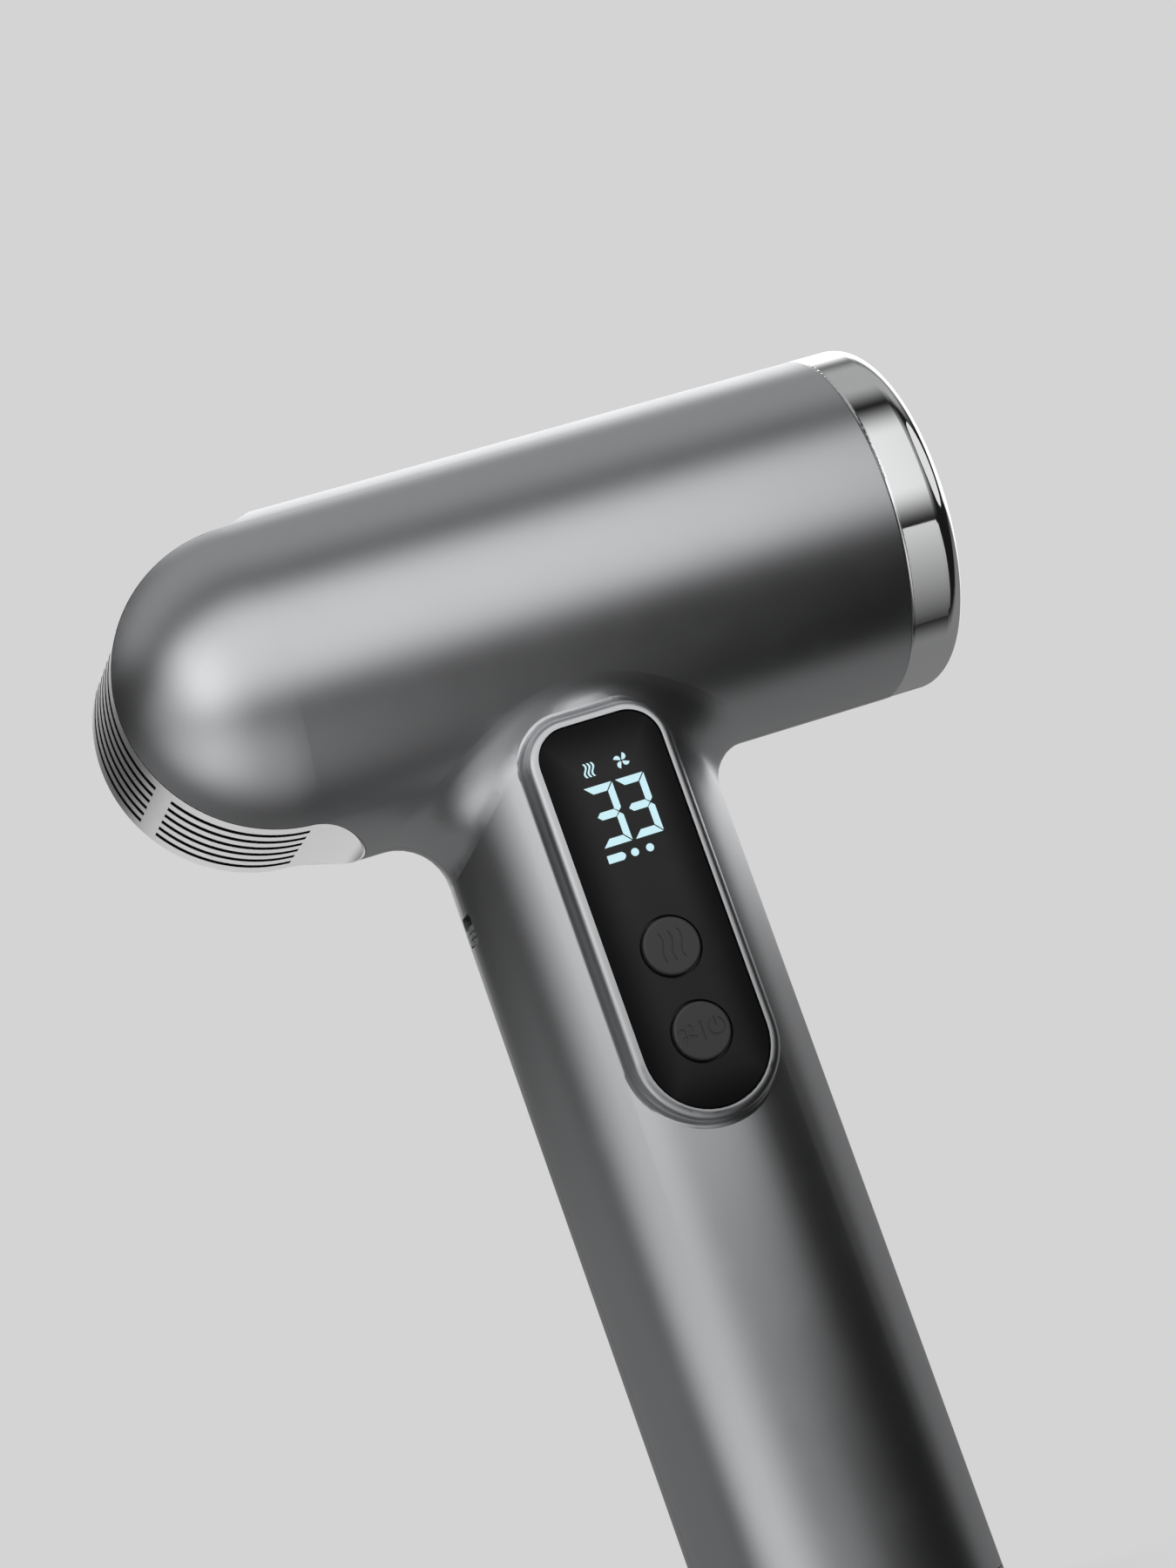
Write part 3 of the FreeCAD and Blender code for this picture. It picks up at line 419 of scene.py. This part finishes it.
def black_panel(name):
    """Smoked glossy plastic with a painted highlight: its colour is lightest down the middle and deepest
    along its edges and ends.
    """
    material, tree, place = start(name)
    axes = tree.axes(place)
    low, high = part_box("panel_cover")
    side = tree.math("DIVIDE", tree.math("ABSOLUTE", axes[0]), (high.x - low.x) / 2)
    up = tree.ramp(axes[2], low.z, high.z, -1.0, 1.0, False)
    # masks for the painted highlight, which fades towards the sides and the ends
    edge = tree.ramp(side, 0.35, 1.0)
    end = tree.ramp(tree.math("ABSOLUTE", up), 0.72, 1.0)
    depth = tree.math("MAXIMUM", edge, end)
    dust = tree.ramp(tree.noise(place, 1 / (0.35 * MM), 2.0), 0.68, 0.75)
    smear = tree.noise(place, 1 / (7 * MM), 5.0, 0.7)
    # painted highlight: the colour runs from lighter in the middle to near black at the sides and ends,
    # and the shine falls off with it
    colour = tree.mix(depth, (0.0085, 0.0085, 0.0086, 1), (0.0010, 0.0010, 0.0011, 1))
    colour = tree.mix(tree.math("MULTIPLY", dust, 0.15), colour, (0.03, 0.03, 0.03, 1))
    level = tree.ramp(depth, 0.0, 1.0, 0.34, 0.12, False)
    shader_of(tree, colour, tree.spread(smear, 0.27, 0.33), 0.0, tree.bump(smear, 0.3 * UM), {
        "Specular IOR Level": level})
    return material


def lit_display(name):
    """Pale cyan figures with a faintly uneven glow."""
    material, tree, place = start(name)
    fleck = tree.noise(place, 1 / (0.5 * MM), 3.0)
    glow = tree.mix(fleck, (0.53, 0.78, 0.85, 1), (0.60, 0.83, 0.89, 1))
    off = (0.08, 0.12, 0.13, 1)
    shader_of(tree, off, tree.spread(fleck, 0.28, 0.36), 0.0, tree.bump(fleck, 0.3 * UM), {
        "Emission Color": glow, "Emission Strength": 1.0, "Specular IOR Level": 0.15})
    return material


def circuit_board(name):
    """Green solder resist with paler lines where copper tracks run under it."""
    material, tree, place = start(name)
    tracks = tree.add("ShaderNodeTexVoronoi", {"distance": "MANHATTAN", "feature": "DISTANCE_TO_EDGE"}, {
        "Vector": place, "Scale": 1 / (2.2 * MM)}).outputs["Distance"]
    line = tree.ramp(tracks, 0.03, 0.06, 1.0, 0.0)
    grain = tree.noise(place, 1 / (0.3 * MM), 3.0)
    resist = tree.mix(grain, (0.015, 0.13, 0.06, 1), (0.02, 0.16, 0.075, 1))
    colour = tree.mix(line, resist, (0.05, 0.28, 0.13, 1))
    shader_of(tree, colour, tree.spread(grain, 0.28, 0.4), 0.0, tree.bump(line, 15 * UM))
    return material


ROUND_X = (9.0, 1.0, 1.0)               # turned about the barrel's axis
ALONG_Z = (1.0, 1.0, 0.08)              # drawn along the handle
LAYERED = (0.5, 1.0, 1.0)               # the flakes of mica
STACKED = (14.0, 0.1, 0.1)              # the sheets of the stator's core
WOUND = (0.15, 1.0, 1.0)                # the turns of the motor's wire

# the look of every slot that one plain finish covers: colour, roughness and what differs from the rest
FINISHES = {
    "key_grey": dict(colour=(0.44, 0.45, 0.455), rough=0.4, metallic=1.0, grain_mm=0.15, cloud_mm=5.0,
                     speck=0.2),
    "filter_mesh": dict(colour=(0.03, 0.03, 0.03), rough=0.42, metallic=0.6, grain_mm=0.2, bump_um=6.0),
    "chrome": dict(colour=(0.88, 0.885, 0.89), rough=0.045, metallic=1.0, grain_mm=0.3, bump_um=0.04,
                   cloud_mm=20.0, tone=0.01, rough_span=0.012),
    "magnet": dict(colour=(0.36, 0.36, 0.37), rough=0.3, metallic=1.0, grain_mm=0.3, bump_um=4.0,
                   cloud_mm=6.0, tone=0.06, rough_span=0.05, speck=0.5),
    "black_heatproof": dict(colour=(0.028, 0.028, 0.028), rough=0.5, grain_mm=0.3, bump_um=12.0,
                            cloud_mm=8.0, tone=0.1, rough_span=0.05),
    "emitter": dict(colour=(0.78, 0.77, 0.73), rough=0.4, grain_mm=0.4, bump_um=5.0, cloud_mm=3.0,
                    tone=0.06, rough_span=0.04, speck=0.1),
    "duct_nylon": dict(colour=(0.16, 0.16, 0.17), rough=0.5, grain_mm=0.3, bump_um=8.0, cloud_mm=10.0,
                       tone=0.08, rough_span=0.05),
    "mica": dict(colour=(0.62, 0.55, 0.42), rough=0.42, grain_mm=0.9, bump_um=14.0, cloud_mm=4.0,
                 tone=0.2, rough_span=0.08, streak=LAYERED, speck=0.35),
    "cast_aluminium": dict(colour=(0.62, 0.63, 0.64), rough=0.36, metallic=1.0, grain_mm=0.35,
                           bump_um=14.0, cloud_mm=6.0, tone=0.06, rough_span=0.06, speck=0.3),
    "bearing_steel": dict(colour=(0.56, 0.56, 0.57), rough=0.2, metallic=1.0, grain_mm=0.12,
                          bump_um=1.0, cloud_mm=6.0, tone=0.03, streak=ROUND_X),
    "lamination_steel": dict(colour=(0.33, 0.33, 0.34), rough=0.4, metallic=1.0, grain_mm=0.4,
                             bump_um=22.0, cloud_mm=4.0, tone=0.1, rough_span=0.06, streak=STACKED),
    "copper_wire": dict(colour=(0.73, 0.36, 0.17), rough=0.26, metallic=1.0, grain_mm=0.45,
                        bump_um=70.0, cloud_mm=3.0, tone=0.12, rough_span=0.05, streak=WOUND),
    "soft_rubber": dict(colour=(0.045, 0.045, 0.045), rough=0.72, grain_mm=0.3, bump_um=14.0,
                        cloud_mm=6.0, tone=0.15, rough_span=0.05, speck=0.2),
    "impeller_aluminium": dict(colour=(0.72, 0.725, 0.73), rough=0.28, metallic=1.0, grain_mm=0.2,
                               bump_um=3.0, cloud_mm=7.0, rough_span=0.05, streak=ROUND_X),
    "black_components": dict(colour=(0.035, 0.035, 0.036), rough=0.45, grain_mm=0.12, bump_um=6.0,
                             cloud_mm=3.0, tone=0.15, rough_span=0.05),
    "heater_wire": dict(colour=(0.46, 0.43, 0.40), rough=0.42, metallic=1.0, grain_mm=0.2, bump_um=6.0,
                        cloud_mm=3.0, tone=0.25, rough_span=0.08),
    "tinned_steel": dict(colour=(0.68, 0.68, 0.69), rough=0.28, metallic=1.0, grain_mm=0.3, bump_um=5.0,
                         cloud_mm=4.0, tone=0.06, rough_span=0.06, streak=ALONG_Z, speck=0.2),
    "glass_bead": dict(colour=(0.55, 0.2, 0.12), rough=0.12, grain_mm=0.3, bump_um=1.0, cloud_mm=2.0,
                       tone=0.1),
    "light_box": dict(colour=(0.8, 0.8, 0.79), rough=0.5, grain_mm=0.3, bump_um=6.0, cloud_mm=6.0,
                      tone=0.03, rough_span=0.05),
    "button_black": dict(colour=(0.058, 0.058, 0.0584), rough=0.42, grain_mm=0.1, bump_um=4.0,
                         cloud_mm=4.0, tone=0.08),
    "capacitor_sleeve": dict(colour=(0.03, 0.05, 0.15), rough=0.3, grain_mm=0.5, bump_um=8.0,
                             cloud_mm=5.0, tone=0.1, rough_span=0.04, streak=ALONG_Z),
    "filter_yellow": dict(colour=(0.72, 0.53, 0.07), rough=0.38, grain_mm=0.4, bump_um=10.0,
                          cloud_mm=4.0, tone=0.08, rough_span=0.05),
    "terminal_nylon": dict(colour=(0.76, 0.75, 0.72), rough=0.48, grain_mm=0.3, bump_um=7.0,
                           cloud_mm=5.0, rough_span=0.05),
    "lead_black": dict(colour=(0.028, 0.028, 0.028), rough=0.5, grain_mm=0.3, bump_um=8.0,
                       cloud_mm=5.0, tone=0.1, rough_span=0.05, streak=ALONG_Z),
    "lead_red": dict(colour=(0.46, 0.035, 0.025), rough=0.46, grain_mm=0.3, bump_um=8.0,
                     cloud_mm=5.0, tone=0.1, rough_span=0.05, streak=ALONG_Z),
}

LOOKS = {slot: finish(slot, **settings) for slot, settings in FINISHES.items()}
LOOKS["housing_grey"] = satin_housing("housing_grey", (0.588, 0.596, 0.610))
LOOKS["silver"] = silver_band("silver")
LOOKS["circuit_board"] = circuit_board("circuit_board")
LOOKS["display_light"] = lit_display("display_light")
LOOKS["panel_black"] = black_panel("panel_black")


def dress_nodes():
    """Gives every CAD node the finished look of its slot."""
    for node in NODES.values():
        for slot in node.material_slots:
            slot.material = LOOKS[slot.material.name.split(".")[0]]


# ---- detailed pieces that stand for plain CAD nodes ----
ASKEW = Vector((0.31, 0.83, 0.47))      # a direction that no wire runs along


def new_piece(name, mesh, node, slot):
    """Shows a mesh in place of a fixed CAD node."""
    mesh.materials.append(LOOKS[slot])
    piece = bpy.data.objects.new(name, mesh)
    bpy.context.scene.collection.objects.link(piece)
    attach(piece, "root")
    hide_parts(node)
    return piece


def wires_piece(name, wires, node, slot):
    """One mesh of round wires, each a (path, radius, sides), that stands for a CAD node."""
    corners = []
    faces = []
    for path, radius, sides in wires:
        first = len(corners)
        last = len(path) - 1
        for k, point in enumerate(path):
            along = (path[min(k + 1, last)] - path[max(k - 1, 0)]).normalized()
            across = along.cross(ASKEW).normalized()
            other = along.cross(across)
            for n in range(sides):
                turn = 2 * math.pi * n / sides
                corners.append(point + radius * (math.cos(turn) * across + math.sin(turn) * other))
        for k in range(last):
            low = first + k * sides
            for n in range(sides):
                m = (n + 1) % sides
                faces.append((low + n, low + m, low + sides + m, low + sides + n))
        faces.append(tuple(first + n for n in reversed(range(sides))))
        faces.append(tuple(first + last * sides + n for n in range(sides)))
    mesh = bpy.data.meshes.new(name)
    mesh.from_pydata(corners, [], faces)
    mesh.polygons.foreach_set("use_smooth", [True] * len(faces))
    new_piece(name, mesh, node, slot)


COIL_PITCH = 2.6 * MM
COIL_TURNS = 5
COIL_RADIUS = 17.75 * MM
COIL_WIRE = 0.26 * MM                   # radius of the wire
COIL_SIDES = 6
COIL_INSET = 0.45 * MM                  # between a bank's outer end and the end of the CAD coils
RIPPLE = 0.3 * MM
RIPPLES_A_TURN = 56
STEPS_A_RIPPLE = 6


def make_heater_windings():
    """Two banks of rippled resistance wire wound round the mica cross."""
    low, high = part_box("heater_coils")
    length = COIL_TURNS * COIL_PITCH
    steps = COIL_TURNS * RIPPLES_A_TURN * STEPS_A_RIPPLE
    wires = []
    for start_x in (low.x + COIL_INSET, high.x - COIL_INSET - length):
        path = []
        for k in range(steps + 1):
            turn = 2 * math.pi * COIL_TURNS * k / steps
            radius = COIL_RADIUS + RIPPLE * math.sin(turn * RIPPLES_A_TURN)
            x = start_x + length * k / steps
            path.append(Vector((x, radius * math.cos(turn), AXIS_Z + radius * math.sin(turn))))
        wires.append((path, COIL_WIRE, COIL_SIDES))
    wires_piece("heater_windings", wires, "heater_coils", "heater_wire")


FILTER_RADIUS = 20.75 * MM
FILTER_HALF_W = 12.3 * MM
FILTER_HALF_DEG = 87.5                  # how far the gauze reaches up and down round the dome
FILTER_ROWS = 31
FILTER_COLUMNS = 79
WEAVE = 0.1 * MM                        # how far a wire rises and dips as it passes the others
MESH_WIRE = 0.11 * MM
MESH_SIDES = 4
FRAME_WIRE = 0.23 * MM
FRAME_SIDES = 8


def filter_point(column, row, lift):
    """Where a row and a column of the gauze cross, lifted off its curve by some distance."""
    turn = math.radians(FILTER_HALF_DEG * (2 * column / (FILTER_COLUMNS - 1) - 1))
    radius = FILTER_RADIUS + lift
    y = FILTER_HALF_W * (2 * row / (FILTER_ROWS - 1) - 1)
    return Vector((BAND_X - radius * math.cos(turn), y, AXIS_Z - radius * math.sin(turn)))


def make_filter_mesh():
    """Woven wire gauze behind the intake slots, held in a thin frame."""
    wires = []
    for row in range(1, FILTER_ROWS - 1):
        path = [filter_point(c, row, WEAVE * (-1) ** (c + row)) for c in range(FILTER_COLUMNS)]
        wires.append((path, MESH_WIRE, MESH_SIDES))
    for column in range(1, FILTER_COLUMNS - 1):
        path = [filter_point(column, r, -WEAVE * (-1) ** (column + r)) for r in range(FILTER_ROWS)]
        wires.append((path, MESH_WIRE, MESH_SIDES))
    for row in (0, FILTER_ROWS - 1):
        path = [filter_point(c, row, 0) for c in range(FILTER_COLUMNS)]
        wires.append((path, FRAME_WIRE, FRAME_SIDES))
    for column in (0, FILTER_COLUMNS - 1):
        path = [filter_point(column, r, 0) for r in range(FILTER_ROWS)]
        wires.append((path, FRAME_WIRE, FRAME_SIDES))
    wires_piece("filter_gauze", wires, "dust_filter", "filter_mesh")


CHORD_LIMIT = 0.02 * MM                 # furthest that an edge may stray from the true curve
CHORD_PASSES = 5
SAME_PLACE = 0.004 * MM                 # corners closer than this are the same corner
WELD = 0.002 * MM


def spoke(point):
    """From the band's centre line to a point."""
    return Vector((point.x - BAND_X, 0, point.z - AXIS_Z))


def take_normals(mesh, cad):
    """Shades the mesh as the CAD node is shaded, and its faces on the main curve as that curve."""
    loops = cad.data.loops
    tree = KDTree(len(loops))
    for k, loop in enumerate(loops):
        tree.insert(cad.matrix_world @ cad.data.vertices[loop.vertex_index].co, k)
    tree.balance()
    given = [corner.vector.copy() for corner in cad.data.corner_normals]
    normals = []
    for face in mesh.polygons:
        corners = [mesh.vertices[v].co for v in face.vertices]
        on_curve = all(abs(spoke(place).length - BAND_R) < CHORD_LIMIT for place in corners)
        for place in corners:
            near = [given[found[1]] for found in tree.find_range(place, SAME_PLACE)]
            best = max(near, key=face.normal.dot, default=face.normal)
            normals.append(spoke(place).normalized() if on_curve else best)
    mesh.normals_split_custom_set(normals)


def make_intake_band():
    """The band again, with its long facets bent onto the true curve."""
    cad = NODES["intake_grille"]
    form = bmesh.new()
    form.from_mesh(cad.data)
    form.transform(cad.matrix_world)
    bmesh.ops.remove_doubles(form, verts=form.verts, dist=WELD)
    for _ in range(CHORD_PASSES):
        chords = []
        for edge in form.edges:
            ends = [spoke(v.co).length for v in edge.verts]
            half_way = spoke((edge.verts[0].co + edge.verts[1].co) / 2).length
            if all(abs(r - BAND_R) < CHORD_LIMIT for r in ends) and BAND_R - half_way > CHORD_LIMIT:
                chords.append(edge)
        if not chords:
            break
        cut = bmesh.ops.subdivide_edges(form, edges=chords, cuts=1)
        for item in cut["geom_inner"]:
            if isinstance(item, bmesh.types.BMVert):
                out = spoke(item.co)
                item.co += out.normalized() * (BAND_R - out.length)
        bmesh.ops.triangulate(form, faces=[f for f in form.faces if len(f.verts) > 3])
    mesh = bpy.data.meshes.new("intake_band")
    form.to_mesh(mesh)
    form.free()
    mesh.polygons.foreach_set("use_smooth", [True] * len(mesh.polygons))
    take_normals(mesh, cad)
    return new_piece("intake_band", mesh, "intake_grille", "silver")


make_camera()
make_world()
make_studio()
make_floor()
dress_nodes()
make_heater_windings()
make_filter_mesh()
served = {"outlet_ring": NODES["outlet_ring"], "intake_band": make_intake_band()}
for name, (piece_name, *settings) in PANELS.items():
    make_panel(name, served[piece_name], *settings)
bpy.context.scene.view_settings.view_transform = "Standard"
